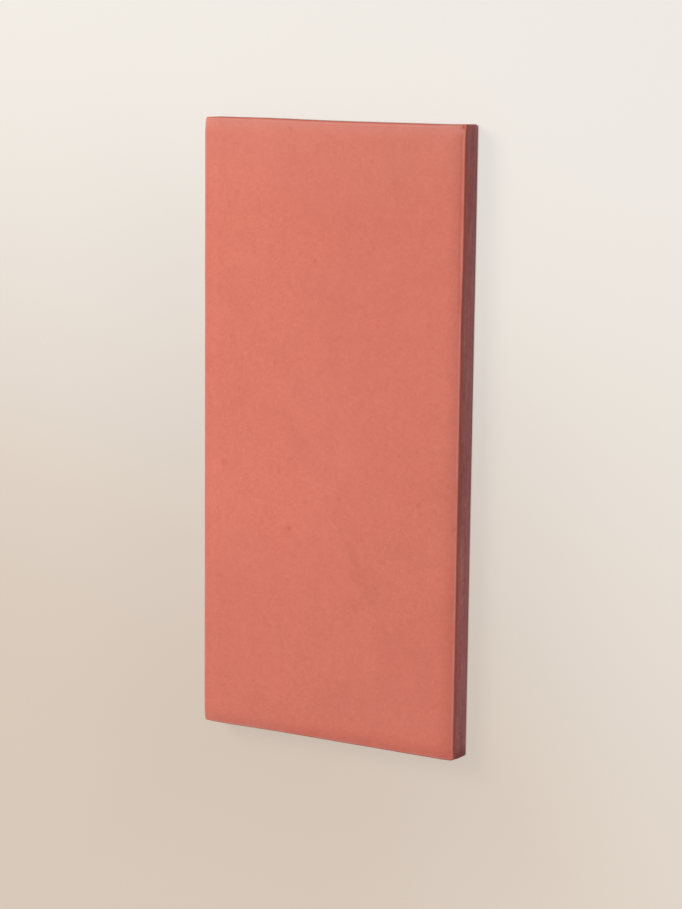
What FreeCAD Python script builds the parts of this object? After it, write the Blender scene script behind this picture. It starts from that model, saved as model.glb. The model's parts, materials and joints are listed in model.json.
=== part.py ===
"""Terracotta floor tile: one fired piece of clay, lying as it is laid, with its wearing face up.

Millimetres. X runs across the width, Y along the length and Z up. The origin is the middle of the
plane that the tile is bedded on.
"""

import FreeCAD
import Part
import math
import os

# Overall size, measured over the ribs of the back.
length = 240.0
width = 115.0
thickness = 11.0
corner_radius = 0.9  # the four upright corners, seen from above

# Wearing face: flat in the middle, falling away in a shallow curve to a soft arris all round.
roll_off_width = 7.0
roll_off_drop = 0.7
arris_radius = 0.6

# Back: straight keys for the bedding mortar, which run the whole length and out at both ends.
key_depth = 1.2
key_mouth_width = 6.4
key_draft = 25.0  # lean of a key's two flanks, in degrees, so that the die lets go of the clay
key_pitch = 12.0
key_lip_radius = 0.5
key_floor_radius = 0.4
plain_margin = 9.0  # least width of flat back between the outermost key and the long edge
bed_arris_radius = 0.8

node_name = "terracotta_tile"
overcut = 5.0  # how far a cutting form reaches past the faces that it cuts through
same_place = 0.01  # points nearer than this lie on the same line or plane


def is_upright(edge):
    """True for an edge that runs straight up."""
    box = edge.BoundBox
    return box.XLength < same_place and box.YLength < same_place


def edges_at_height(solid, height):
    """Edges that lie wholly at one height."""
    found = []
    for edge in solid.Edges:
        box = edge.BoundBox
        if abs(box.ZMin - height) < same_place and abs(box.ZMax - height) < same_place:
            found.append(edge)
    return found


def block(size_x, size_y, bottom, top, upright_radius):
    """Upright block centred on the Z axis, with its four upright edges rounded."""
    low_corner = FreeCAD.Vector(-size_x / 2, -size_y / 2, bottom)
    sharp = Part.makeBox(size_x, size_y, top - bottom, low_corner)
    upright = [edge for edge in sharp.Edges if is_upright(edge)]
    return sharp.makeFillet(upright_radius, upright)


def wearing_face_form():
    """Large block whose top is the wearing face: flat, then curved down along all four sides.

    The curve is an arc that leaves the flat level and has fallen by the drop where the tile ends.
    """
    radius = (roll_off_width**2 + roll_off_drop**2) / (2 * roll_off_drop)
    reach = radius - roll_off_width
    bottom = thickness - radius - overcut
    form = block(width + 2 * reach, length + 2 * reach, bottom, thickness, radius)
    return form.makeFillet(radius, edges_at_height(form, thickness))


def is_on_outline(point):
    """True for a point straight above or below the outline that the tile has in plan."""
    beyond_x = max(abs(point.x) - (width / 2 - corner_radius), 0)
    beyond_y = max(abs(point.y) - (length / 2 - corner_radius), 0)
    return abs(math.hypot(beyond_x, beyond_y) - corner_radius) < same_place


def arris_edges(body):
    """Edges where the wearing face meets the upright sides."""
    found = []
    for edge in body.Edges:
        middle = edge.valueAt((edge.FirstParameter + edge.LastParameter) / 2)
        if is_on_outline(middle) and not is_upright(edge) and middle.z > thickness / 2:
            found.append(edge)
    return found


def plain_body():
    """The tile with its wearing face and soft edges, before the keys are formed."""
    slab = block(width, length, 0, thickness, corner_radius)
    body = slab.common(wearing_face_form()).Solids[0]
    body = body.makeFillet(arris_radius, arris_edges(body))
    return body.makeFillet(bed_arris_radius, edges_at_height(body, 0))


def key_centres():
    """Places of the keys across the width, in pairs about the rib that stands on the middle line."""
    outermost = width / 2 - plain_margin - key_mouth_width / 2
    pairs = math.floor(outermost / key_pitch + 1 / 2)
    right = [(i + 1 / 2) * key_pitch for i in range(pairs)]
    return [-x for x in reversed(right)] + right


def bend(corner, before, after, radius):
    """Line from the corner before, then the arc that rounds this corner, as start, middle and end."""
    to_before = (before - corner).normalize()
    to_after = (after - corner).normalize()
    half_angle = to_before.getAngle(to_after) / 2
    setback = radius / math.tan(half_angle)
    middle_line = (to_before + to_after).normalize()
    centre = corner + middle_line * (radius / math.sin(half_angle))
    return [corner + to_before * setback, centre - middle_line * radius, corner + to_after * setback]


def key_form(centre_x):
    """What one key takes out of the back: a trough with leaning flanks, soft lips and soft floor."""
    draft = math.radians(key_draft)
    flank_length = key_depth / math.cos(draft)
    half_mouth = key_mouth_width / 2
    half_floor = half_mouth - key_depth * math.tan(draft)

    # Both arcs of a flank turn by the same angle, and together they can't be longer than the flank.
    setback_of_unit = math.tan((math.pi / 2 - draft) / 2)
    room = flank_length / setback_of_unit
    fit = min(1, room / (key_lip_radius + key_floor_radius))
    lip_radius = key_lip_radius * fit
    floor_radius = min(key_floor_radius * fit, half_floor / setback_of_unit)

    def at(x, z):
        return FreeCAD.Vector(x, -length / 2 - overcut, z)

    shoulder = half_mouth + lip_radius
    low_left, high_left = at(-shoulder, -overcut), at(-shoulder, 0)
    lip_left, floor_left = at(-half_mouth, 0), at(-half_floor, key_depth)
    floor_right, lip_right = at(half_floor, key_depth), at(half_mouth, 0)
    high_right, low_right = at(shoulder, 0), at(shoulder, -overcut)

    outline = [
        [low_left],
        [high_left],
        bend(lip_left, high_left, floor_left, lip_radius),
        bend(floor_left, lip_left, floor_right, floor_radius),
        bend(floor_right, floor_left, lip_right, floor_radius),
        bend(lip_right, floor_right, high_right, lip_radius),
        [high_right],
        [low_right],
    ]
    edges = []
    for i, stop in enumerate(outline):
        edges.append(Part.LineSegment(outline[i - 1][-1], stop[0]).toShape())
        if len(stop) > 1:
            edges.append(Part.Arc(*stop).toShape())
    form = Part.Face(Part.Wire(edges)).extrude(FreeCAD.Vector(0, length + 2 * overcut, 0))
    form.translate(FreeCAD.Vector(centre_x, 0, 0))
    return form


def terracotta_tile():
    """The finished tile, one solid."""
    keys = [key_form(centre_x) for centre_x in key_centres()]
    return plain_body().cut(keys).Solids[0]


def main():
    os.makedirs("parts", exist_ok=True)
    tile = terracotta_tile()
    tile.exportStep(os.path.join("parts", node_name + ".step"))
    box = tile.optimalBoundingBox(False)
    print(f"{node_name}: {box.XLength:.2f} x {box.YLength:.2f} x {box.ZLength:.2f} mm")
    print(f"{len(key_centres())} keys, {len(tile.Faces)} faces, {tile.Volume / 1000:.1f} cm3")
    print(f"valid: {tile.isValid()}")


main()
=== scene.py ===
# %% [markdown]
# # An unglazed terracotta floor tile
#
# The construction model gives the tile's exact size and place: 240 mm long, 115 mm wide and 11 mm
# thick, lying face up with its back on the floor. This lesson gives it what the die, the cutter and
# the kiln leave on real clay. Geometry Nodes make the form and its relief, because both follow
# rules. The colour and the finest grain come from three finishes that share their node groups.

# %% Load the frame
import json
import math

import bpy
from mathutils import Matrix, Quaternion, Vector

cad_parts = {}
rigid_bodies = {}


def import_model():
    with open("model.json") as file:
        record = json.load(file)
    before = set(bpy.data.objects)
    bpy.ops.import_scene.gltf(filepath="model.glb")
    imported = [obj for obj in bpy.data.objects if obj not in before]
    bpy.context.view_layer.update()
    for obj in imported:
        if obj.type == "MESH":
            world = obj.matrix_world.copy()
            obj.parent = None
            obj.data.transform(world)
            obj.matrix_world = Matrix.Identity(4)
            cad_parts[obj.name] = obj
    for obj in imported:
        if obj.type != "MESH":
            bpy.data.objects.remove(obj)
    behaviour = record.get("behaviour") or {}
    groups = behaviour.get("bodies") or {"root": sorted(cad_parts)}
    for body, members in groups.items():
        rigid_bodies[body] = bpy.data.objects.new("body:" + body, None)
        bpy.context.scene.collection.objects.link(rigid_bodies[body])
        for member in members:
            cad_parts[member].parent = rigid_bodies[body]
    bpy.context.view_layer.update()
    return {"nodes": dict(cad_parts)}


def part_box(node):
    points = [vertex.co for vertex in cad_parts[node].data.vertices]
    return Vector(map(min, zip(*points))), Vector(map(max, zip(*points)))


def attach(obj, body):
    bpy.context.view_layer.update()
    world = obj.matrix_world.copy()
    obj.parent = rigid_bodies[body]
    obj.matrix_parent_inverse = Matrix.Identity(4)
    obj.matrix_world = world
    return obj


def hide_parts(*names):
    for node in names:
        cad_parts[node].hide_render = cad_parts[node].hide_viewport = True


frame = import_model()
TILE_NODE = "terracotta_tile"
MM = 0.001

tile_low, tile_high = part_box(TILE_NODE)
tile_size = Vector(tile_high) - Vector(tile_low)
print("nodes in the frame:", list(frame["nodes"]))
print("tile, mm:", [round(side / MM, 2) for side in tile_size])

# %% [markdown]
# ## The camera
#
# The picture looks at the wearing face from the tile's right. The tile lies flat here, so the same
# view looks down on it. A long lens stands a metre away, and the tile's length leans by less than a
# degree. The edges run together as in a picture whose frame sits a tenth of its height off the
# lens's axis, so the camera has that shift. A camera could also be aimed with a constraint, but
# three angles and a distance say in plain numbers where it stands. It has no depth of field.

# %% The camera
LOOK_AT = Vector((6.75, -40.99, 11.0)) * MM  # where the camera's axis meets the face
VIEW_AZIMUTH = 110.297  # degrees; at 0 the camera looks along +Y, at 90 along -X
VIEW_ELEVATION = 57.047
VIEW_DISTANCE = 1.0173
VIEW_LEAN = 0.635  # degrees by which the tile's length leans clockwise in the picture
LENS = 104.45  # mm, where the long side of the picture is 36 mm
LONG_SIDE = 36
SHIFT = 0.099  # how far the picture is cut off its axis, as a share of its height


def direction(azimuth, elevation):
    """Unit vector from the tile towards a viewer or a lamp."""
    a, e = math.radians(azimuth), math.radians(elevation)
    return Vector((math.sin(a) * math.cos(e), -math.cos(a) * math.cos(e), math.sin(e)))


def looking_from(back, upwards):
    """Rotation of a camera or lamp that looks along -back, with upwards towards its top edge."""
    right = upwards.cross(back).normalized()
    return Matrix((right, back.cross(right), back)).transposed().to_quaternion()


view_back = direction(VIEW_AZIMUTH, VIEW_ELEVATION)
camera = bpy.data.objects.new("camera", bpy.data.cameras.new("camera"))
camera.data.sensor_width = LONG_SIDE
camera.data.lens = LENS
camera.data.shift_y = SHIFT
camera.rotation_mode = "QUATERNION"
camera.location = LOOK_AT + view_back * VIEW_DISTANCE
level_view = looking_from(view_back, Vector((0, 1, 0)))
camera.rotation_quaternion = Quaternion(view_back, math.radians(VIEW_LEAN)) @ level_view
bpy.context.scene.collection.objects.link(camera)
bpy.context.scene.camera = camera
print("camera at, m:", [round(value, 4) for value in camera.location])

# %% [markdown]
# ## Formulas in place of loose nodes
#
# Geometry Nodes and shaders do their arithmetic with Math nodes, and a tree of them is hard to read.
# This small class wraps a socket, so that ordinary arithmetic in Python lays down the nodes. It
# works in both kinds of tree, and each formula below reads like the rule that it stands for.


# %% Formulas in place of loose nodes
class Formula:
    """A number that a node tree works out for each point. Arithmetic on it adds Math nodes."""

    def __init__(self, tree, socket):
        self.tree = tree
        self.socket = socket

    def math(self, operation, *others):
        node = self.tree.nodes.new("ShaderNodeMath")
        node.operation = operation
        for slot, value in zip(node.inputs, (self, *others)):
            fill(self.tree, slot, value)
        return Formula(self.tree, node.outputs[0])

    def __add__(self, other):
        return self.math("ADD", other)

    def __radd__(self, other):
        return self.math("ADD", other)

    def __sub__(self, other):
        return self.math("SUBTRACT", other)

    def __rsub__(self, other):
        return self.math("MULTIPLY_ADD", -1, other)

    def __mul__(self, other):
        return self.math("MULTIPLY", other)

    def __rmul__(self, other):
        return self.math("MULTIPLY", other)

    def __truediv__(self, other):
        return self.math("DIVIDE", other)

    def smaller(self, other):
        return self.math("MINIMUM", other)

    def larger(self, other):
        return self.math("MAXIMUM", other)

    def between(self, low, high):
        return self.larger(low).smaller(high)

    def size(self):
        return self.math("ABSOLUTE")

    def squared(self):
        return self.math("MULTIPLY", self)

    def root(self):
        return self.larger(0).math("SQRT")

    def below(self, limit):
        return self.math("LESS_THAN", limit)

    def above(self, limit):
        return self.math("GREATER_THAN", limit)

    def rise(self, low, high):
        """0 up to low and 1 from high on, with a smooth rise between them."""
        node = self.tree.nodes.new("ShaderNodeMapRange")
        node.interpolation_type = "SMOOTHSTEP"
        fill(self.tree, node.inputs["Value"], self)
        fill(self.tree, node.inputs["From Min"], low)
        fill(self.tree, node.inputs["From Max"], high)
        return Formula(self.tree, node.outputs["Result"])

    def fall(self, low, high):
        """1 up to low and 0 from high on."""
        return 1 - self.rise(low, high)


def fill(tree, slot, value):
    """Links a formula or a socket to a slot, or writes a plain value there."""
    if isinstance(value, Formula):
        tree.links.new(value.socket, slot)
    elif isinstance(value, bpy.types.NodeSocket):
        tree.links.new(value, slot)
    else:
        slot.default_value = value


print("formulas are ready")

# %% [markdown]
# ## Nodes by name
#
# A few nodes aren't arithmetic: they take a vector apart, put one together, or make noise. Noise is
# what keeps clay from looking like plastic, so it has a helper that asks for the one thing that
# matters, the length of a wave in millimetres. Each has a seed of its own, so it comes out the
# same every time.


# %% Nodes by name
def add_node(tree, kind, settings=(), **inputs):
    """Adds a node. Settings are its own options, and inputs are its slots, with _ for a space."""
    node = tree.nodes.new(kind)
    for name, value in dict(settings).items():
        setattr(node, name, value)
    for name, value in inputs.items():
        fill(tree, node.inputs[name.replace("_", " ")], value)
    return node


def parts_of(tree, vector):
    """The X, Y and Z of a vector socket, as formulas."""
    node = add_node(tree, "ShaderNodeSeparateXYZ", Vector=vector)
    return [Formula(tree, output) for output in node.outputs]


def vector_of(tree, x, y, z):
    """A vector socket made of three formulas or numbers."""
    return add_node(tree, "ShaderNodeCombineXYZ", X=x, Y=y, Z=z).outputs[0]


def noise(tree, x, y, z, wave, seed, detail=2.0, roughness=0.5):
    """Smooth noise from about -1 to 1, for a place in millimetres and a wave of that length."""
    place = vector_of(tree, x, y, z)
    settings = {"noise_dimensions": "4D"}
    made = {"Vector": place, "W": seed, "Scale": 1 / wave, "Detail": detail, "Roughness": roughness}
    node = add_node(tree, "ShaderNodeTexNoise", settings, **made)
    return Formula(tree, node.outputs[0]) * 2 - 1


print("node helpers are ready")

# %% [markdown]
# ## The sizes of the section
#
# The frame gives the overall size. The section of the edges and of the keyed back is written down
# once, in millimetres, and becomes the named inputs of the tile's tree. Numbers inside the tree
# would work too, but named inputs can be tried out on the modifier while it is still live.

# %% The sizes of the section
SECTION = {
    "Width": tile_size.x / MM,
    "Length": tile_size.y / MM,
    "Thickness": tile_size.z / MM,
    "Corner radius": 0.9,
    "Worn corner radius": 1.7,
    "Roll-off width": 7.0,
    "Roll-off drop": 0.7,
    "Arris radius": 0.6,
    "Bed arris radius": 0.8,
    "Key depth": 1.2,
    "Key pitch": 12.0,
    "Key floor": 4.8,  # across the floor of a key, inside its soft corners
    "Key mouth": 7.0,  # across its mouth, outside its soft lips
    "End spread": 0.4,
}


def new_tree(name, sizes):
    """Geometry Nodes tree with geometry in and out, and its named sizes as formulas."""
    tree = bpy.data.node_groups.new(name, "GeometryNodeTree")
    tree.interface.new_socket("Geometry", in_out="INPUT", socket_type="NodeSocketGeometry")
    tree.interface.new_socket("Geometry", in_out="OUTPUT", socket_type="NodeSocketGeometry")
    for size_name, value in sizes.items():
        socket = tree.interface.new_socket(size_name, in_out="INPUT", socket_type="NodeSocketFloat")
        socket.default_value = value
    group_input = tree.nodes.new("NodeGroupInput")
    formulas = {size_name: Formula(tree, group_input.outputs[size_name]) for size_name in sizes}
    return tree, group_input.outputs["Geometry"], formulas


form, _, size = new_tree("tile form", SECTION)
half_x, half_y = size["Width"] / 2, size["Length"] / 2
run, drop = size["Roll-off width"], size["Roll-off drop"]
arris, bed = size["Arris radius"], size["Bed arris radius"]
pitch = size["Key pitch"]
print("named sizes of the form:", len(size))

# %% [markdown]
# ## A grid that is fine where the section bends
#
# The face is cushioned: flat in the middle, then falling in a shallow arc along its four edges to a
# soft arris. Bevels can't follow that arc round the corners, so a cube that is cut into a fine grid
# is bent to the rule of the section instead. Its lines crowd on the arrises and on the flanks of the
# keys, and spread out where the clay is flat. One closed skin then covers face, sides and back.

# %% The grid
ARRIS_CELLS = 6
ROLL_OFF_CELLS = 14
FLAT_FROM = ARRIS_CELLS + ROLL_OFF_CELLS
BED_ARRIS_CELLS = 5
MARGIN_CELLS = 5
KEY_FLOOR_CELLS, KEY_FLANK_CELLS, RIB_CELLS = 2, 5, 1  # from the middle of a key to that of a rib
HALF_KEY_CELLS = KEY_FLOOR_CELLS + KEY_FLANK_CELLS + RIB_CELLS
KEYS_PER_HALF = 4
KEYED_CELLS = 2 * HALF_KEY_CELLS * KEYS_PER_HALF
HALF_COLUMNS = KEYED_CELLS + MARGIN_CELLS + BED_ARRIS_CELLS
HALF_ROWS = 139
SIDE_CELLS = 12

cube = add_node(form, "GeometryNodeMeshCube", Size=(2, 2, 2), Vertices_Z=SIDE_CELLS + 1)
cube.inputs["Vertices X"].default_value = 2 * HALF_COLUMNS + 1
cube.inputs["Vertices Y"].default_value = 2 * HALF_ROWS + 1
grid_place = form.nodes.new("GeometryNodeInputPosition").outputs[0]
u, v, w = parts_of(form, grid_place)  # each runs from -1 to 1 across the cube
columns_in = (1 - u.size()) * HALF_COLUMNS  # grid lines between here and the long edge
rows_in = (1 - v.size()) * HALF_ROWS
up = (w + 1) / 2  # 0 on the back, 1 on the face
grid_faces = 8 * HALF_COLUMNS * HALF_ROWS + 4 * (HALF_COLUMNS + HALF_ROWS) * SIDE_CELLS
print("triangles of the skin:", 2 * grid_faces)

# %% [markdown]
# ## Where the grid lines lie
#
# Each grid line gets a distance from the tile's outline, its inset. On an arris the lines are spaced
# by equal angles, so that they are as close as the bend asks for. Lines that are as close all over
# the tile would make some thirty times as many faces. Face and back have different insets, and
# each upright line of a side runs from one to the other.


# %% Where the lines of the face lie
def share(cells, first, count):
    """How far a grid line has come through a band of cells, from 0 to 1."""
    return (cells.between(first, first + count) - first) / count


roll_radius = (run.squared() + drop.squared()) / (drop * 2)
meeting_slope = ((run - arris) / (roll_radius - arris)).math("ARCSINE")
meeting_inset = arris * (1 - meeting_slope.math("SINE"))  # where the arris turns into the roll-off


def face_inset(cells, half_cells, half_size):
    """How far inside the outline a grid line of the face lies, when that many cells come first."""
    quarter = math.pi / 2
    angle = quarter - (quarter - meeting_slope) * share(cells, 0, ARRIS_CELLS)
    on_arris = arris * (1 - angle.math("SINE"))
    on_roll_off = share(cells, ARRIS_CELLS, ROLL_OFF_CELLS) * (run - meeting_inset)
    on_flat = share(cells, FLAT_FROM, half_cells - FLAT_FROM) * (half_size - run)
    return on_arris + on_roll_off + on_flat


face_x, face_y = face_inset(columns_in, HALF_COLUMNS, half_x), face_inset(rows_in, HALF_ROWS, half_y)
print("grid lines from the outline to the flat of the face:", FLAT_FROM)


# %% Where the lines of the back lie
def bed_arris_inset(cells):
    """How far inside the outline a grid line on the arris of the back lies."""
    angle = share(cells, 0, BED_ARRIS_CELLS) * (math.pi / 2)
    return bed * (1 - angle.math("COSINE"))


def back_inset(cells, half_cells, half_size):
    """The same for the whole back, with even spacing inside its arris."""
    inside = share(cells, BED_ARRIS_CELLS, half_cells - BED_ARRIS_CELLS) * (half_size - bed)
    return bed_arris_inset(cells) + inside


def keyed_inset(cells):
    """The same for the lengthwise lines of the back, which crowd on the flanks of the keys."""
    margin = share(cells, BED_ARRIS_CELLS, MARGIN_CELLS) * (half_x - bed - pitch * KEYS_PER_HALF)
    in_keys_from_middle = (HALF_COLUMNS - cells).smaller(KEYED_CELLS) / (2 * HALF_KEY_CELLS)
    key_number = in_keys_from_middle.math("FLOOR")
    side_step = in_keys_from_middle - key_number - 0.5
    from_key = side_step.size() * (2 * HALF_KEY_CELLS)
    floor_width, mouth_width = size["Key floor"], size["Key mouth"]
    on_floor = share(from_key, 0, KEY_FLOOR_CELLS) * floor_width
    on_flank = share(from_key, KEY_FLOOR_CELLS, KEY_FLANK_CELLS) * (mouth_width - floor_width)
    on_rib = share(from_key, KEY_FLOOR_CELLS + KEY_FLANK_CELLS, RIB_CELLS) * (pitch - mouth_width)
    off_centre = side_step.math("SIGN") * (on_floor + on_flank + on_rib) / 2
    in_keys = half_x - (key_number + 0.5) * pitch - off_centre
    is_keyed = (HALF_COLUMNS - cells).below(KEYED_CELLS + 0.5)
    return is_keyed * in_keys + (1 - is_keyed) * (bed_arris_inset(cells) + margin)


back_x, back_y = keyed_inset(columns_in), back_inset(rows_in, HALF_ROWS, half_y)
inset_x = back_x + (face_x - back_x) * up
inset_y = back_y + (face_y - back_y) * up
inset = inset_x.smaller(inset_y)
print("keys on the back:", 2 * KEYS_PER_HALF)

# %% [markdown]
# ## The plan
#
# Seen from above, the tile is an oblong with small round corners. Each ring of the grid is drawn in
# to them: whatever lies past the last straight stretch is pulled back onto an arc. A Bevel on the
# corners would cut across the rings instead, and spoil the smooth bend. The upper half of the
# near right corner is rubbed rounder than the others, as if the tile had been set down on it.

# %% The plan
is_near_right = u.above(0) * v.below(0)
rubbed = is_near_right * up.rise(0.5, 1.0)
corner = size["Corner radius"] + rubbed * (size["Worn corner radius"] - size["Corner radius"])
square_x, square_y = half_x - inset_x, half_y - inset_y
past_x = (square_x - half_x + corner).larger(0)
past_y = (square_y - half_y + corner).larger(0)
past = (past_x.squared() + past_y.squared()).root().larger(0.001)  # never 0, as it divides
in_corner = 1 - past_x.smaller(past_y).below(0.0001)
shrink = 1 - in_corner + in_corner * past_x.larger(past_y) / past
plan_x = square_x - past_x * (1 - shrink)
plan_y = square_y - past_y * (1 - shrink)
print("nodes up to the plan:", len(form.nodes))

# %% [markdown]
# ## The height
#
# The roll-off is a circle's arc that leaves the flat level, and over the corners a ball's skin. The
# arris takes a little more away near the outline. Below, the keys and the arris of the bed each give
# a height, and the higher of the two holds, as where one cut crosses another. Cutting the keys with
# a Boolean would work too, but it leaves long thin faces that shade badly.

# %% The height
roll_centre = size["Thickness"] - roll_radius
arris_centre = roll_centre + ((roll_radius - arris).squared() - (run - arris).squared()).root()
over_x = (plan_x - half_x + run).larger(0)
over_y = (plan_y - half_y + run).larger(0)
cushion = roll_centre + (roll_radius.squared() - over_x.squared() - over_y.squared()).root()
plain_edge = roll_centre + (roll_radius.squared() - (run - inset).squared()).root()
soft_edge = arris_centre + (arris.squared() - (arris - inset).squared()).root()
face_height = cushion - inset.below(meeting_inset) * (plain_edge - soft_edge)

bed_height = bed - (bed.squared() - (bed - inset).larger(0).squared()).root()
from_key = ((plan_x / pitch).math("FRACT") - 0.5).size() * pitch
in_key = from_key.fall(size["Key floor"] / 2, size["Key mouth"] / 2)
key_height = plan_x.below(pitch * KEYS_PER_HALF) * size["Key depth"] * in_key
back_height = bed_height.larger(key_height)
height = back_height + (face_height - back_height) * up
print("nodes up to the height:", len(form.nodes))

# %% [markdown]
# ## From the rule to the skin
#
# A slab dries and shrinks first along its edges, so its ends are never quite straight. Here they
# spread by under half a millimetre towards three of the corners. Then the grid takes its shape. The
# skin also keeps, for each point, how far it lies from the arrises: the relief and the finishes need
# that later, and no picture has to be painted for it.


# %% Helpers that keep a value and use a tree
def keep_value(tree, geometry, name, value, domain):
    """Stores a value on the mesh under a name, for later steps and for the materials."""
    settings = {"data_type": "FLOAT", "domain": domain}
    node = add_node(tree, "GeometryNodeStoreNamedAttribute", settings, Geometry=geometry, Name=name)
    fill(tree, node.inputs["Value"], value)
    return node.outputs[0]


def use_tree(piece, tree, sizes):
    """Puts the tree on the piece as a modifier and sets each named size by its identifier."""
    modifier = piece.modifiers.new(tree.name, "NODES")
    modifier.node_group = tree
    for item in tree.interface.items_tree:
        if item.name in sizes:
            modifier[item.identifier] = sizes[item.name]


print("helpers for the mesh are ready")

# %% From the rule to the skin
LESSER_SPREAD = 0.8  # the share of the spread at the far right and near left corners

formed_x = u.math("SIGN") * plan_x
is_far = v.above(0)
far_spread = formed_x.fall(-40, 5) + formed_x.rise(44, 58) * LESSER_SPREAD
near_spread = formed_x.fall(-50, -20) * LESSER_SPREAD
spread = (is_far * far_spread + (1 - is_far) * near_spread) * size["End spread"]
formed_y = v.math("SIGN") * plan_y * (1 + spread / half_y)
formed = vector_of(form, formed_x * MM, formed_y * MM, height * MM)

from_arris = (inset.squared() + (face_height - height).squared()).root()
from_bed = (inset.squared() + height.squared()).root()
skin = keep_value(form, cube.outputs["Mesh"], "zone", w, "FACE")  # 1 on the face, -1 on the back
skin = keep_value(form, skin, "from_arris", from_arris, "POINT")
skin = keep_value(form, skin, "from_bed", from_bed, "POINT")
shaped = add_node(form, "GeometryNodeSetPosition", Geometry=skin, Position=formed)
add_node(form, "NodeGroupOutput", Geometry=shaped.outputs[0])  # the relief's tree takes it from here

tile = bpy.data.objects.new("fired_tile", bpy.data.meshes.new("fired_tile"))
bpy.context.scene.collection.objects.link(tile)
use_tree(tile, form, SECTION)
print("nodes in the form:", len(form.nodes))

# %% [markdown]
# ## What the die, the wire and the kiln leave
#
# Real clay is never as true as its drawing. The slab warps a little as it dries, the die drags fine
# lines along the sides and the back, a wire cuts the ends, and the arrises lose crumbs. The marks
# could be painted on, but they would vanish in raking light. They are moved into the mesh instead,
# as far as its grid can carry them, and only what is finer is left to the finishes.

# %% The relief's sizes and its tree
RELIEF = {
    "Warp": 0.10,  # all in millimetres, apart from the seed
    "Dimples": 0.012,
    "Side wobble": 0.10,
    "Drag lines": 0.03,
    "Wire marks": 0.06,
    "Nicks": 0.30,
    "Fuller side": 0.35,
    "Seed": 4.0,
}

marks, marked_in, mark = new_tree("fired clay relief", RELIEF)
mark_place = marks.nodes.new("GeometryNodeInputPosition").outputs[0]
x, y, z = [part / MM for part in parts_of(marks, mark_place)]
outwards = marks.nodes.new("GeometryNodeInputNormal").outputs[0]
facing_x, facing_y, facing_z = [part.size() for part in parts_of(marks, outwards)]
is_side = facing_x.larger(facing_y).rise(0.5, 0.95)
is_face = z.above(6.0) * facing_z.rise(0.6, 1.0)
is_back = z.below(2.0) * facing_z.rise(0.6, 1.0)
print("named sizes of the relief:", len(mark))

# %% [markdown]
# ## Warp, drag lines and wire marks
#
# These are all noise, stretched by the tool that made them. The die's wall draws its lines along the
# tile, so that noise hardly changes along Y. The wire runs across the ends, so that noise hardly
# changes along X. Sculpting could give such marks as well, but a rule gives the same ones in each
# run. The right side also stands a little fuller under its arris towards the far end.

# %% Warp, drag lines and wire marks
seed = mark["Seed"]
warp = noise(marks, x, y, 0, wave=70, seed=seed) * mark["Warp"] * is_face
dimples = noise(marks, x, y, z, wave=5, seed=seed + 1) * mark["Dimples"]
wobble = noise(marks, x, y, z * 0.4, wave=22, seed=seed + 2) * mark["Side wobble"] * is_side
drawn = noise(marks, x * 1.2, y * 0.01, z * 1.2, wave=1.6, seed=seed + 3) * mark["Drag lines"]
drag = drawn * (facing_x.rise(0.5, 0.9) + is_back)
cut = noise(marks, x * 0.08, 0, z, wave=1.8, seed=seed + 4) * mark["Wire marks"]
wire = cut * facing_y.rise(0.5, 0.9)
fuller = facing_x.rise(0.3, 0.8) * x.rise(50, 56) * y.rise(48, 76) * z.rise(4.5, 10.0)
gained = warp + dimples + wobble + drag + wire + fuller * mark["Fuller side"]
print("nodes up to the marks of the tools:", len(marks.nodes))

# %% [markdown]
# ## Crumbs and knocks
#
# A fired arris is brittle. It loses crumbs wherever tiles rub in the stack, most of all on the
# arris of the bed, and a hard knock takes out a small hollow. The crumbs are rough noise that only
# counts near an arris. Each knock is a ball that is pressed in a little way at a place of its own.
# Cutting them out with rough solids would leave slivers to mend, so the skin is only pushed in.

# %% Crumbs and knocks
KNOCKS = (  # the middle of each, its radius in mm and its share of a ball's depth
    ((56.6, 119.2, 10.4), 1.3, 0.3),
    ((58.0, 120.6, -0.2), 1.6, 0.8),
    ((58.2, 46.0, 10.0), 1.0, 0.8),
    ((58.3, -114.6, 9.9), 1.1, 0.8),
)
CRUMBLED_ARRIS = 0.5  # the share of the nicks' depth on the arris of the face


def kept_value(tree, name):
    """Reads a value that the mesh keeps under a name."""
    settings = {"data_type": "FLOAT"}
    node = add_node(tree, "GeometryNodeInputNamedAttribute", settings, Name=name)
    return Formula(tree, node.outputs["Attribute"])


def knock(centre, radius):
    """Depth that a small knock has taken, as if a ball had been pressed in there."""
    apart = add_node(marks, "ShaderNodeVectorMath", {"operation": "DISTANCE"})
    fill(marks, apart.inputs[0], vector_of(marks, x, y, z))
    fill(marks, apart.inputs[1], centre)
    return (radius - Formula(marks, apart.outputs["Value"])).larger(0)


near_arris = kept_value(marks, "from_arris").fall(0.0, 1.3)
near_bed = kept_value(marks, "from_bed").fall(0.0, 1.6)
crumbled = noise(marks, x, y, z, wave=7, seed=seed + 5, detail=4.0, roughness=0.7).rise(0.25, 0.8)
lost = crumbled * (near_arris * CRUMBLED_ARRIS + near_bed) * mark["Nicks"]
for centre, radius, depth_share in KNOCKS:
    lost = lost + knock(centre, radius) * depth_share

sunk = is_back * mark["Drag lines"]  # so that no line stands out below the bed
moved = gained - lost - sunk
offset = add_node(marks, "ShaderNodeVectorMath", {"operation": "SCALE"})
fill(marks, offset.inputs[0], outwards)
fill(marks, offset.inputs["Scale"], moved * MM)
pushed = add_node(marks, "GeometryNodeSetPosition", Geometry=marked_in, Offset=offset.outputs[0])
marked_skin = keep_value(marks, pushed.outputs[0], "lost_clay", lost, "POINT")
print("nodes in the relief:", len(marks.nodes))

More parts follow.
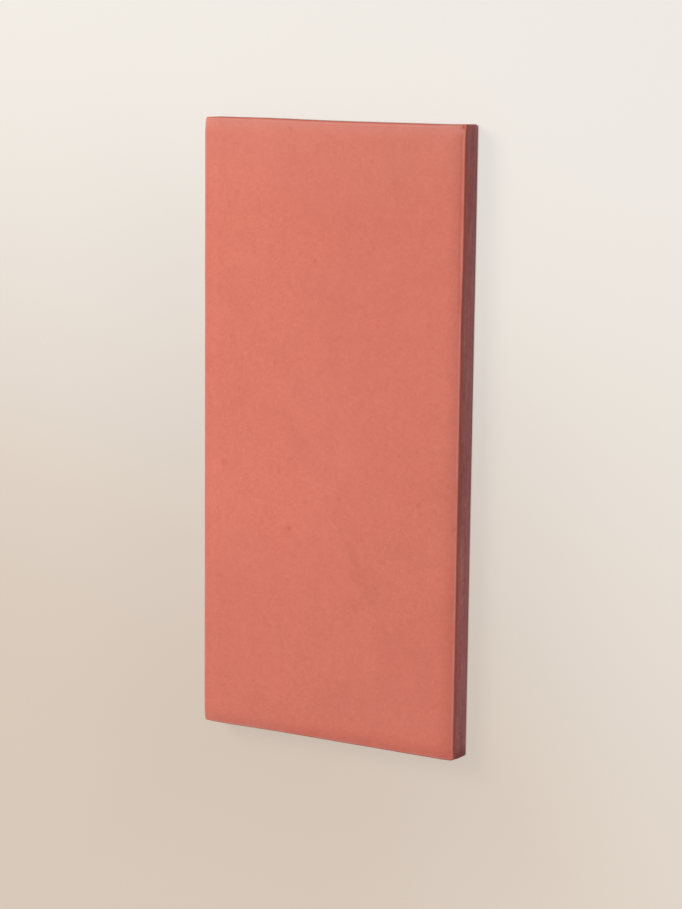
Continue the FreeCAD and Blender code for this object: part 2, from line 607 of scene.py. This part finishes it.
# %% [markdown]
# ## The three finishes share their effects
#
# The face, the sides and the back are one body of clay, but they are touched by different tools: a
# smoothing belt, the die's wall and the conveyor. One material with masks could serve them all, but
# three are easier to follow. They share node groups for what the clay itself does. A group is made
# once, has named inputs, and gives out only colours and heights, so that the shader itself stays in
# each material.


# %% Helpers for the finishes
def new_group(name, inputs, outputs):
    """Shader group with named inputs and outputs, each a colour, a vector or a number."""
    kinds = {"colour": "NodeSocketColor", "vector": "NodeSocketVector", "number": "NodeSocketFloat"}
    group = bpy.data.node_groups.new(name, "ShaderNodeTree")
    for socket_name, kind in inputs.items():
        group.interface.new_socket(socket_name, in_out="INPUT", socket_type=kinds[kind])
    for socket_name, kind in outputs.items():
        group.interface.new_socket(socket_name, in_out="OUTPUT", socket_type=kinds[kind])
    entry = group.nodes.new("NodeGroupInput").outputs
    given = {}
    for socket_name, kind in inputs.items():
        socket = entry[socket_name]
        given[socket_name] = Formula(group, socket) if kind == "number" else socket
    return group, given, group.nodes.new("NodeGroupOutput").inputs


def mixed(tree, share_of_second, first, second):
    """Colour between two colours."""
    node = add_node(tree, "ShaderNodeMix", {"data_type": "RGBA"})
    fill(tree, node.inputs[0], share_of_second)
    fill(tree, node.inputs[6], first)  # the slots of a mix of colours
    fill(tree, node.inputs[7], second)
    return node.outputs[2]


def brightened(tree, colour, factor):
    """Colour times a number."""
    node = add_node(tree, "ShaderNodeVectorMath", {"operation": "SCALE"})
    fill(tree, node.inputs[0], colour)
    fill(tree, node.inputs["Scale"], factor)
    return node.outputs[0]


def two_vectors(tree, operation, first, second):
    """Sum or product of two colours or vectors, part by part."""
    node = add_node(tree, "ShaderNodeVectorMath", {"operation": operation})
    fill(tree, node.inputs[0], first)
    fill(tree, node.inputs[1], second)
    return node.outputs[0]


print("helpers for the finishes are ready")

# %% [markdown]
# ## The clay body
#
# Fired red clay is cloudy, because iron and moisture never spread quite evenly, and its grain is
# paler than what binds it. A single noise would look like a stain or like sand, so there are three:
# broad clouds, a slow change in warmth, and a rough fine grain that also gives the height.

# %% The clay body
body, given, body_out = new_group(
    "fired clay body",
    {
        "Place": "vector",
        "Clay": "colour",
        "Cloudiness": "number",
        "Warmth": "number",
        "Grain": "number",
    },
    {"Color": "colour", "Height": "number"},
)
PALE_GRAIN = (0.70, 0.30, 0.25)
x, y, z = parts_of(body, given["Place"])
broad_clouds = noise(body, x, y, z, wave=45, seed=1.0)
small_clouds = noise(body, x, y, z, wave=12, seed=2.0, detail=1.0)
clouds = broad_clouds * 0.5 + small_clouds * 0.5
grain = noise(body, x, y, z, wave=2.0, seed=3.0, detail=3.0, roughness=0.95)
warmth = noise(body, x, y, z, wave=20, seed=5.0) * given["Warmth"] + 1
warmed = two_vectors(body, "MULTIPLY", given["Clay"], vector_of(body, 1, warmth, warmth))
cloudy = brightened(body, warmed, 1 + clouds * given["Cloudiness"])
speckle = brightened(body, PALE_GRAIN, grain * given["Grain"])
fill(body, body_out["Color"], two_vectors(body, "ADD", cloudy, speckle))
fill(body, body_out["Height"], grain)
print("nodes in the clay body:", len(body.nodes))

# %% [markdown]
# ## Specks
#
# The clay holds specks of iron, which fire dark, and grog, which is crushed fired clay and stays
# pale. Noise can't give separate specks, but Voronoi cells can: each cell has a middle, and a random
# number that says whether a speck lies there. A speck sits a little lower than the clay round it.

# %% Specks
specks, given, specks_out = new_group(
    "specks of iron and grog",
    {"Place": "vector", "Color": "colour", "Iron": "number", "Grog": "number"},
    {"Color": "colour", "Height": "number"},
)
IRON_TONE = (0.42, 0.075, 0.050, 1)
GROG_TONE = (0.80, 0.33, 0.24, 1)
IRON_STRENGTH, GROG_STRENGTH = 0.20, 0.25


def voronoi_cells(tree, place, wave):
    """Distance to the middle of the nearest cell, and a random number that each cell has."""
    node = add_node(tree, "ShaderNodeTexVoronoi", Vector=place, Scale=1 / wave)
    chance = parts_of(tree, node.outputs["Color"])[0]
    return Formula(tree, node.outputs["Distance"]) * wave, chance


apart, chance = voronoi_cells(specks, given["Place"], wave=2.8)
iron_spot = apart.fall(0.05, 0.65) * chance.fall(given["Iron"], given["Iron"] + 0.10)
apart, chance = voronoi_cells(specks, given["Place"], wave=1.6)
grog_spot = apart.fall(0.05, 0.50) * chance.fall(given["Grog"], given["Grog"] + 0.15)
with_iron = mixed(specks, iron_spot * IRON_STRENGTH, given["Color"], IRON_TONE)
with_grog = mixed(specks, grog_spot * GROG_STRENGTH, with_iron, GROG_TONE)
fill(specks, specks_out["Color"], with_grog)
fill(specks, specks_out["Height"], 0 - iron_spot - grog_spot)
print("nodes in the specks:", len(specks.nodes))

# %% [markdown]
# ## The worn and shaded arris
#
# Hands and neighbouring tiles touch an arris first, so nearer the arris the clay is rubbed in
# patches, paler on the face and redder on the sides, and its last half millimetre shows the red
# inside. A band of a few millimetres along each arris is also a little darker, as painted shade.
# Where a crumb is lost, the fresh clay is darker still. The skin knows how far each point is from
# the arris and how much clay it has lost, so the tones follow the form and not a painted line.

# %% The worn and shaded arris
worn, given, worn_out = new_group(
    "worn and shaded arris",
    {
        "Place": "vector",
        "Color": "colour",
        "Arris tone": "colour",
        "From arris": "number",
        "Reach": "number",
        "Handling": "number",
        "Lost clay": "number",
    },
    {"Color": "colour"},
)
FRESH_CLAY = (0.300, 0.060, 0.038, 1)
EDGE_TONE = (0.560, 0.120, 0.075, 1)
RIM_STRENGTH, EDGE_STRENGTH, FRESH_STRENGTH = 0.8, 0.7, 0.8
x, y, z = parts_of(worn, given["Place"])
from_arris = given["From arris"]
ragged = noise(worn, x, y, z, wave=2.5, seed=6.0, detail=3.0)
patchy = noise(worn, x, y, z, wave=9, seed=12.0).rise(-0.35, 0.35) * 0.6 + 0.4
# painted shade: a band of a few millimetres along each arris is darkened
edge_shaded = brightened(worn, given["Color"], 1 - from_arris.fall(0.5, 6.0) * given["Handling"])
on_rim = (from_arris + ragged * 0.4).fall(0.5, given["Reach"]) * patchy
rimmed = mixed(worn, on_rim * RIM_STRENGTH, edge_shaded, given["Arris tone"])
on_edge = (from_arris + ragged * 0.1).fall(0.15, 0.55)
edged = mixed(worn, on_edge * EDGE_STRENGTH, rimmed, EDGE_TONE)
bitten = given["Lost clay"].rise(0.12, 0.3)
fill(worn, worn_out["Color"], mixed(worn, bitten * FRESH_STRENGTH, edged, FRESH_CLAY))
print("nodes in the worn and shaded arris:", len(worn.nodes))

# %% [markdown]
# ## Lines drawn by the die
#
# Wet clay that slides along steel leaves fine lines, darker in their bottoms. A Wave texture would
# make them as even as print. Noise that is stretched along the tile gives lines that start, fade and
# join again, and the same value makes both their colour and their height.

# %% Lines drawn by the die
lines, given, lines_out = new_group(
    "drawn lines",
    {"Place": "vector", "Stretch": "vector", "Color": "colour", "Depth": "number"},
    {"Color": "colour", "Height": "number"},
)
x, y, z = parts_of(lines, two_vectors(lines, "MULTIPLY", given["Place"], given["Stretch"]))
broad_lines = noise(lines, x, y, z, wave=5.0, seed=7.0, detail=1.0)
fine_lines = noise(lines, x, y, z, wave=2.0, seed=8.0, detail=3.0, roughness=0.8)
line_height = broad_lines * 0.4 + fine_lines * 0.8
fill(lines, lines_out["Color"], brightened(lines, given["Color"], 1 + line_height * given["Depth"]))
fill(lines, lines_out["Height"], line_height)
print("shader groups:", [group.name for group in (body, specks, worn, lines)])

# %% [markdown]
# ## Marks, and painted light and shade, on the face
#
# Grain and small clouds are alike on every tile, but this one also has marks of its own: iron spots,
# three scratches, a smudge, a paler tone towards the far end, and tan and chipped places on the far
# right arris. The face also carries painted light and shade: a painted fall of light that is darker
# at the far right and lighter left of the middle, a painted sheen along the far roll-off, a painted
# warm shade along the near and right rims, and a painted darker red shade just inside the far right
# arris. They could be painted on an image, but a short list of places in millimetres stays sharp at
# any size and is easy to change.
# Each mark is a distance to a point or a line.

# %% Places and tones of the marks and of the painted light and shade
# the red of the iron spots, also used for a painted shade inside the far right arris
RED_SPOT_AND_SHADE = (0.620, 0.100, 0.060, 1)
PALE_SCRATCH = (0.900, 0.400, 0.300, 1)
SHEEN_AND_PALE_TONE = (0.900, 0.560, 0.520, 1)
TAN = (0.560, 0.270, 0.170, 1)
WARM_SHADE = (0.720, 0.100, 0.050, 1)
PAINTED_FALLOFF = (  # painted fall of light: x and y in mm from the middle, radius, and by what share it is lighter there
    ((30.0, 112.0), 70.0, -0.04),
    ((-32.0, -25.0), 65.0, 0.05),
)
IRON_SPOTS = (  # x and y, radius, and how strongly the spot colours the clay
    ((-17.1, -37.4), 1.3, 0.45),
    ((-17.8, -37.8), 3.8, 0.22),
    ((-24.0, 27.5), 1.4, 0.30),
    ((-47.2, -13.8), 2.2, 0.30),
    ((-40.7, 16.1), 1.2, 0.30),
    ((-6.2, 67.4), 1.1, 0.35),
    ((18.4, 105.6), 1.2, 0.30),
    ((5.6, -23.4), 1.2, 0.30),
    ((-26.1, -77.3), 1.1, 0.25),
    ((45.6, -31.2), 1.5, 0.20),
    ((40.6, -22.4), 1.3, 0.30),
    ((-17.9, 117.0), 1.5, 0.30),
)
SCRATCHES = (
    ((-11.1, -16.7), (-2.8, -19.2)),
    ((1.1, -19.3), (4.9, -20.1)),
    ((1.5, -32.9), (4.9, -35.4)),
)
SCRATCH_STRENGTH = 0.12
SMUDGE = ((10.8, -42.0), (14.1, -52.1), (21.0, -60.4))
SMUDGE_STRENGTH = 0.045
SHEEN_AND_PALE_BANDS = (  # the first is a painted sheen on the far roll-off, the second a paler tone; full up to here and gone from there, in mm from the far end, and the strength
    (0.5, 6.0, 0.10),
    (3.0, 40.0, 0.04),
)
EDGE_MARKS_AND_SHADE = (  # start, end, full up to here and gone from there, fraying, strength and tone
    # the first two rows are painted shade: a warmer, redder shade over the near and right roll-offs
    ((-10.0, -120.0), (57.5, -120.0), 2.0, 12.0, 0.0, 0.12, WARM_SHADE),
    ((57.5, -120.0), (57.5, -50.0), 1.0, 14.0, 0.0, 0.08, WARM_SHADE),
    # painted shade: a darker red band just inside the far right arris, towards the far end
    ((56.8, 52.0), (56.8, 116.0), 0.5, 1.5, 0.2, 0.32, RED_SPOT_AND_SHADE),
    ((57.3, 112.0), (57.3, 118.5), 0.3, 0.9, 0.0, 0.70, TAN),
    ((56.5, 119.6), (57.1, 118.9), 0.2, 1.0, 0.4, 0.90, FRESH_CLAY),
)
print("iron spots and scratches:", len(IRON_SPOTS), len(SCRATCHES))


# %% Marks and painted light and shade on the face
def apart_from(x, y, start, end):
    """Distance in millimetres from the straight line between two points, seen from above."""
    (start_x, start_y), (end_x, end_y) = start, end
    run_x, run_y = end_x - start_x, end_y - start_y
    along = ((x - start_x) * run_x + (y - start_y) * run_y) / max(run_x**2 + run_y**2, 0.01)
    along = along.between(0, 1)
    return ((x - start_x - along * run_x).squared() + (y - start_y - along * run_y).squared()).root()


def mark_the_face(tree, place, colour):
    """The single marks that this tile's face carries, and its painted light and shade."""
    x, y, z = parts_of(tree, place)
    frayed = noise(tree, x, y, 0, wave=1.5, seed=11.0)
    # painted light and shade: darker towards the far right, lighter left of the middle
    for middle, radius, lighter in PAINTED_FALLOFF:
        in_falloff = apart_from(x, y, middle, middle).fall(0, radius)
        colour = brightened(tree, colour, in_falloff * lighter + 1)
    for middle, radius, strength in IRON_SPOTS:
        apart = apart_from(x, y, middle, middle) + frayed * 0.4
        colour = mixed(tree, apart.fall(0.2, radius) * strength, colour, RED_SPOT_AND_SHADE)
    for start, end in SCRATCHES:
        apart = apart_from(x, y, start, end) + frayed.size() * 0.6
        colour = mixed(tree, apart.fall(0.1, 0.8) * SCRATCH_STRENGTH, colour, PALE_SCRATCH)
    smudged = 0
    for start, end in zip(SMUDGE, SMUDGE[1:]):
        apart = apart_from(x, y, start, end) + frayed * 0.8
        smudged = 1 - (1 - smudged) * apart.rise(0.3, 4.2)
    colour = brightened(tree, colour, 1 - smudged * SMUDGE_STRENGTH)
    from_far_end = tile_size.y / MM / 2 - y + frayed * 0.6
    # a painted sheen along the far roll-off, and a paler tone further in
    for full, gone, strength in SHEEN_AND_PALE_BANDS:
        colour = mixed(tree, from_far_end.fall(full, gone) * strength, colour, SHEEN_AND_PALE_TONE)
    # marks along the edges, with the painted shade of the rims and of the far right arris
    for start, end, full, gone, fraying, strength, tone in EDGE_MARKS_AND_SHADE:
        apart = apart_from(x, y, start, end) + frayed * fraying
        colour = mixed(tree, apart.fall(full, gone) * strength, colour, tone)
    return colour


print("marks along the edges:", len(EDGE_MARKS_AND_SHADE))

# %% [markdown]
# ## Dust on the sides
#
# The sides carry grey dust of the kiln and the yard, which clings low on them. Its tone is paler
# than the clay, so it also paints light over the shade where the sides meet the floor, and below it
# the last millimetre at the bed is darker, as painted shade. The sides are a little lighter in one
# stretch and darker at the far end, and the near right corner is darker, down to the tone of fresh
# clay. A layer of its own would need a second shell, so the dust is only a tone that is mixed in by
# height, with a soft ragged upper limit.

# %% Dust on the sides
DUST_AND_PAINTED_LIGHT = (0.780, 0.333, 0.283, 1)
DUST_AND_PAINTED_LIGHT_STRENGTH = 0.5
BED_SHADE = 0.25
SIDE_STRETCHES = (  # place along the sides, reach and by what share they are lighter there
    (-50.0, 55.0, 0.13),
    (122.0, 35.0, -0.14),
)
DARK_CORNER = (57.5, -120.0)
DARK_CORNER_STRENGTH = 0.65


def dust_the_side(tree, place, colour):
    """Dust that also paints light low on the sides, painted shade at the bed, lighter and darker
    stretches, and the darker corner.
    """
    x, y, z = parts_of(tree, place)
    ragged = noise(tree, x, y, z, wave=6, seed=13.0)
    for middle, reach, lighter in SIDE_STRETCHES:
        in_stretch = (y - middle).size().fall(0, reach)
        colour = brightened(tree, colour, in_stretch * lighter + 1)
    # grey dust, paler than the clay, which also paints light over the shade near the floor
    colour = mixed(tree, (z + ragged * 1.5).fall(0.3, 4.5) * DUST_AND_PAINTED_LIGHT_STRENGTH, colour, DUST_AND_PAINTED_LIGHT)
    # painted shade: the last millimetre or so above the bed is darker
    colour = brightened(tree, colour, 1 - z.fall(0.3, 1.8) * BED_SHADE)
    # darker towards the near right corner, down to the tone of fresh clay
    from_corner = apart_from(x, y, DARK_CORNER, DARK_CORNER) + ragged
    return mixed(tree, from_corner.fall(0.5, 6.0) * DARK_CORNER_STRENGTH, colour, FRESH_CLAY)


print("lighter and darker stretches of the sides:", len(SIDE_STRETCHES))

# %% [markdown]
# ## The finishes
#
# Each finish places the same groups with its own values. The face is the reddest and smoothest, and
# carries the single marks. The sides are streaky, because the die's wall drew a fine slip over them,
# and their duller, greyer clay is in part a painted cool tint of the shade they lie in. The back is
# the plainest. All three are matt, and their roughness follows the grain.

# %% Values of the three finishes
FACE_LOOK = {
    "Clay": (0.728, 0.202, 0.145, 1),
    "Arris tone": (0.700, 0.270, 0.225, 1),
    "Reach": 1.3,  # how far in from the arris its tone goes, mm
    "Cloudiness": 0.07,
    "Warmth": 0.03,
    "Grain": 0.17,
    "Specks": 0.06,
    "Lines": 0.0,
}
SIDE_LOOK = {
    # greyer than the face's clay, in part a painted cool tint of the shade on the sides
    "Clay": (0.665, 0.215, 0.180, 1),
    "Arris tone": (0.660, 0.135, 0.085, 1),
    "Reach": 2.4,
    "Cloudiness": 0.16,
    "Warmth": 0.20,
    "Grain": 0.36,
    "Specks": 0.08,
    "Lines": 0.72,
}
BACK_LOOK = {
    "Clay": (0.660, 0.210, 0.160, 1),
    "Arris tone": (0.600, 0.125, 0.075, 1),
    "Reach": 1.3,
    "Cloudiness": 0.12,
    "Warmth": 0.08,
    "Grain": 0.28,
    "Specks": 0.10,
    "Lines": 0.20,
}
ALONG = (1.0, 0.08, 1.0)  # what draws a noise out into lines along the tile
ARRIS_SHADE = 0.07  # painted shade: how much darker the clay is along the arrises
GRAIN_HEIGHT, SPECK_HEIGHT, LINE_HEIGHT = 0.04, 0.03, 0.12  # mm
ROUGHNESS, ROUGHNESS_CHANGE = 0.88, 0.05
GLOSS = 0.25
print("clay of face, sides and back:", [look["Clay"][:3] for look in (FACE_LOOK, SIDE_LOOK, BACK_LOOK)])


# %% The three finishes
def place_in_mm(tree):
    """Object coordinates in millimetres."""
    coordinates = tree.nodes.new("ShaderNodeTexCoord").outputs["Object"]
    return brightened(tree, coordinates, 1 / MM)


def use_group(tree, group, **inputs):
    """Places a shader group and fills its inputs."""
    return add_node(tree, "ShaderNodeGroup", {"node_tree": group}, **inputs).outputs


def value_of_skin(tree, name):
    """A value that the skin keeps for its materials."""
    return add_node(tree, "ShaderNodeAttribute", {"attribute_name": name}).outputs["Fac"]


def clay_material(name, look, add_marks=None):
    """Matt fired clay, from the shared groups and the values of one finish."""
    material = bpy.data.materials.new(name)
    material.use_nodes = True
    tree = material.node_tree
    shader = tree.nodes["Principled BSDF"]
    place = place_in_mm(tree)
    tones = {value_name: look[value_name] for value_name in ("Clay", "Cloudiness", "Warmth", "Grain")}
    clay = use_group(tree, body, Place=place, **tones)
    amount = look["Specks"]
    spotted = use_group(tree, specks, Place=place, Color=clay["Color"], Iron=amount, Grog=amount)
    coloured = {"Color": spotted["Color"], "Depth": look["Lines"]}
    drawn = use_group(tree, lines, Place=place, Stretch=ALONG, **coloured)
    colour = add_marks(tree, place, drawn["Color"]) if add_marks else drawn["Color"]
    finished = use_group(
        tree,
        worn,
        Place=place,
        Color=colour,
        Arris_tone=look["Arris tone"],
        From_arris=value_of_skin(tree, "from_arris"),
        Reach=look["Reach"],
        Handling=ARRIS_SHADE,
        Lost_clay=value_of_skin(tree, "lost_clay"),
    )["Color"]

    clay_height, speck_height = Formula(tree, clay["Height"]), Formula(tree, spotted["Height"])
    line_height = Formula(tree, drawn["Height"]) * look["Lines"]
    relief = clay_height * GRAIN_HEIGHT + speck_height * SPECK_HEIGHT + line_height * LINE_HEIGHT
    bump = add_node(tree, "ShaderNodeBump", Height=relief * MM)
    bump.inputs["Distance"].default_value = 1.0
    fill(tree, shader.inputs["Base Color"], finished)
    fill(tree, shader.inputs["Normal"], bump.outputs[0])
    fill(tree, shader.inputs["Roughness"], clay_height * ROUGHNESS_CHANGE + ROUGHNESS)
    shader.inputs["Specular IOR Level"].default_value = GLOSS
    return material


face_finish = clay_material("belt-smoothed face clay", FACE_LOOK, mark_the_face)
side_finish = clay_material("die-drawn side clay", SIDE_LOOK, dust_the_side)
back_finish = clay_material("keyed back clay", BACK_LOOK)
print("finishes:", face_finish.name, side_finish.name, back_finish.name)

# %% [markdown]
# ## From nodes to a plain mesh
#
# The relief's tree ends by giving each zone of the skin its finish: the sides' to all of it, and
# then those of the face and the back to theirs. The result is turned into a plain mesh, which
# replaces the construction model's node and rides where that node rides. The modifiers could stay
# live, but other programs read only the mesh.

# %% From nodes to a plain mesh
zone = kept_value(marks, "zone")
smooth = add_node(marks, "GeometryNodeSetShadeSmooth", Geometry=marked_skin)
real = add_node(marks, "GeometryNodeRealizeInstances", Geometry=smooth.outputs[0]).outputs[0]
dressed = add_node(marks, "GeometryNodeSetMaterial", Geometry=real, Material=side_finish)
for finish, where in ((face_finish, zone.above(0.99)), (back_finish, zone.below(-0.99))):
    covered = {"Geometry": dressed.outputs[0], "Material": finish, "Selection": where}
    dressed = add_node(marks, "GeometryNodeSetMaterial", **covered)
add_node(marks, "NodeGroupOutput", Geometry=dressed.outputs[0])
use_tree(tile, marks, RELIEF)

evaluated = tile.evaluated_get(bpy.context.evaluated_depsgraph_get())
skin_mesh = bpy.data.meshes.new_from_object(evaluated)
tile.modifiers.clear()
tile.data = skin_mesh
skin_mesh.materials.pop(index=0)  # the empty slot that the cube brought along
print("tile triangles:", sum(len(face.vertices) - 2 for face in skin_mesh.polygons))
for slot, finish in enumerate(skin_mesh.materials):
    count = sum(face.material_index == slot for face in skin_mesh.polygons)
    print("faces of", finish.name + ":", count)

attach(tile, "root")
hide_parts(TILE_NODE)

# %% [markdown]
# ## The floor
#
# The tile lies on a plain pale floor, cream at the far end and beige nearer the viewer. A floor that
# is this pale would throw so much light back that the tile's side would lose its depth. So the
# camera sees the full tone, most of it as a soft glow, and all other light meets a darker floor.
# The glow stops under the tile, and is a little weaker in a painted pool of shadow round its near half.

# %% The floor's plane
FLOOR_HALF = 3.0

floor_mesh = bpy.data.meshes.new("floor")
corners = [(-FLOOR_HALF, -FLOOR_HALF, 0), (FLOOR_HALF, -FLOOR_HALF, 0)]
corners += [(FLOOR_HALF, FLOOR_HALF, 0), (-FLOOR_HALF, FLOOR_HALF, 0)]
floor_mesh.from_pydata(corners, [], [(0, 1, 2, 3)])
floor = bpy.data.objects.new("floor", floor_mesh)
bpy.context.scene.collection.objects.link(floor)
print("floor, m:", [round(side, 2) for side in floor.dimensions])

# %% The floor's tone
FAR_TONE = (0.880, 0.838, 0.785, 1)
NEAR_TONE = (0.705, 0.598, 0.504, 1)
RIGHT_TONE = (0.790, 0.700, 0.615, 1)
BOUNCE_TONE = (0.44, 0.46, 0.49, 1)
GLOW = 0.82
SHADE_POOL = 0.05  # painted shadow: how much weaker the glow is in the pool round the tile's near half


def seen_directly(tree):
    """1 for rays from the camera, or by way of gloss or glass, and 0 for all other light."""
    paths = tree.nodes.new("ShaderNodeLightPath").outputs
    camera_ray, glossy_ray, glass_ray = [
        Formula(tree, paths[name])
        for name in ("Is Camera Ray", "Is Glossy Ray", "Is Transmission Ray")
    ]
    return (camera_ray + glossy_ray + glass_ray).smaller(1)


floor_material = bpy.data.materials.new("pale floor")
floor_material.use_nodes = True
tree = floor_material.node_tree
shader = tree.nodes["Principled BSDF"]
x, y, z = parts_of(tree, place_in_mm(tree))  # to the right, to the far end and up
near_tone = mixed(tree, x.rise(-20, 170), NEAR_TONE, RIGHT_TONE)
tone = mixed(tree, (y + x * 0.15).rise(-150, 150), near_tone, FAR_TONE)
from_tile = (x.size() - tile_size.x / MM / 2).larger(y.size() - tile_size.y / MM / 2)
# painted shadow: a soft darker pool on the floor round the tile's near half
shade_pool = from_tile.fall(0, 90) * (y + x * 0.5).fall(20, 100)
glow = from_tile.rise(-1.0, 0.3) * (1 - shade_pool * SHADE_POOL) * GLOW
direct = seen_directly(tree)
lit_tone = mixed(tree, direct, BOUNCE_TONE, brightened(tree, tone, 1 - GLOW))
fill(tree, shader.inputs["Base Color"], lit_tone)
fill(tree, shader.inputs["Emission Color"], tone)
fill(tree, shader.inputs["Emission Strength"], direct * glow)
shader.inputs["Roughness"].default_value = 1.0
shader.inputs["Specular IOR Level"].default_value = 0.0
floor_mesh.materials.append(floor_material)
print("nodes in the floor's material:", len(tree.nodes))

# %% [markdown]
# ## The light
#
# One large soft lamp stands at the far left, so that its light slants over the face: the roll-offs
# on the right and near edges fall into shade, and the side gets only what the room gives back. A
# sun lamp would need no place, but a lamp with a size and a distance gives a shadow that softens
# away from the tile. It is a little warm and the room a little cool, as by a window, and on the
# face they add up to nearly white, so each clay renders about as it is written.

# %% The key lamp
KEY_AZIMUTH = 231.0
KEY_ELEVATION = 45.0
KEY_DISTANCE = 1.4
KEY_SIZE = 0.8
KEY_TONE = (1.0, 0.945, 0.805)
KEY_SHARE = 0.58  # of the light on the face; the world gives the rest

key_back = direction(KEY_AZIMUTH, KEY_ELEVATION)
key = bpy.data.objects.new("key_lamp", bpy.data.lights.new("key_lamp", "AREA"))
key.data.shape = "DISK"
key.data.size = KEY_SIZE
key.data.color = KEY_TONE
key.data.energy = KEY_SHARE * math.pi**2 * KEY_DISTANCE**2 / key_back.z
key.location = key_back * KEY_DISTANCE
key.rotation_mode = "QUATERNION"
key.rotation_quaternion = looking_from(key_back, Vector((0, 0, 1)))
bpy.context.scene.collection.objects.link(key)
print("key lamp, W:", round(key.data.energy, 1))

# %% The room
ROOM_TONE = (0.830, 0.866, 1.000, 1)
ROOM_STRENGTH = 0.448

world = bpy.data.worlds.new("pale room")
world.use_nodes = True
bpy.context.scene.world = world
tree = world.node_tree
background = tree.nodes["Background"]
direct = seen_directly(tree)
fill(tree, background.inputs["Color"], mixed(tree, direct, ROOM_TONE, FAR_TONE))
fill(tree, background.inputs["Strength"], direct * (1 - ROOM_STRENGTH) + ROOM_STRENGTH)
bpy.context.scene.view_settings.view_transform = "Standard"
print("room strength:", ROOM_STRENGTH)
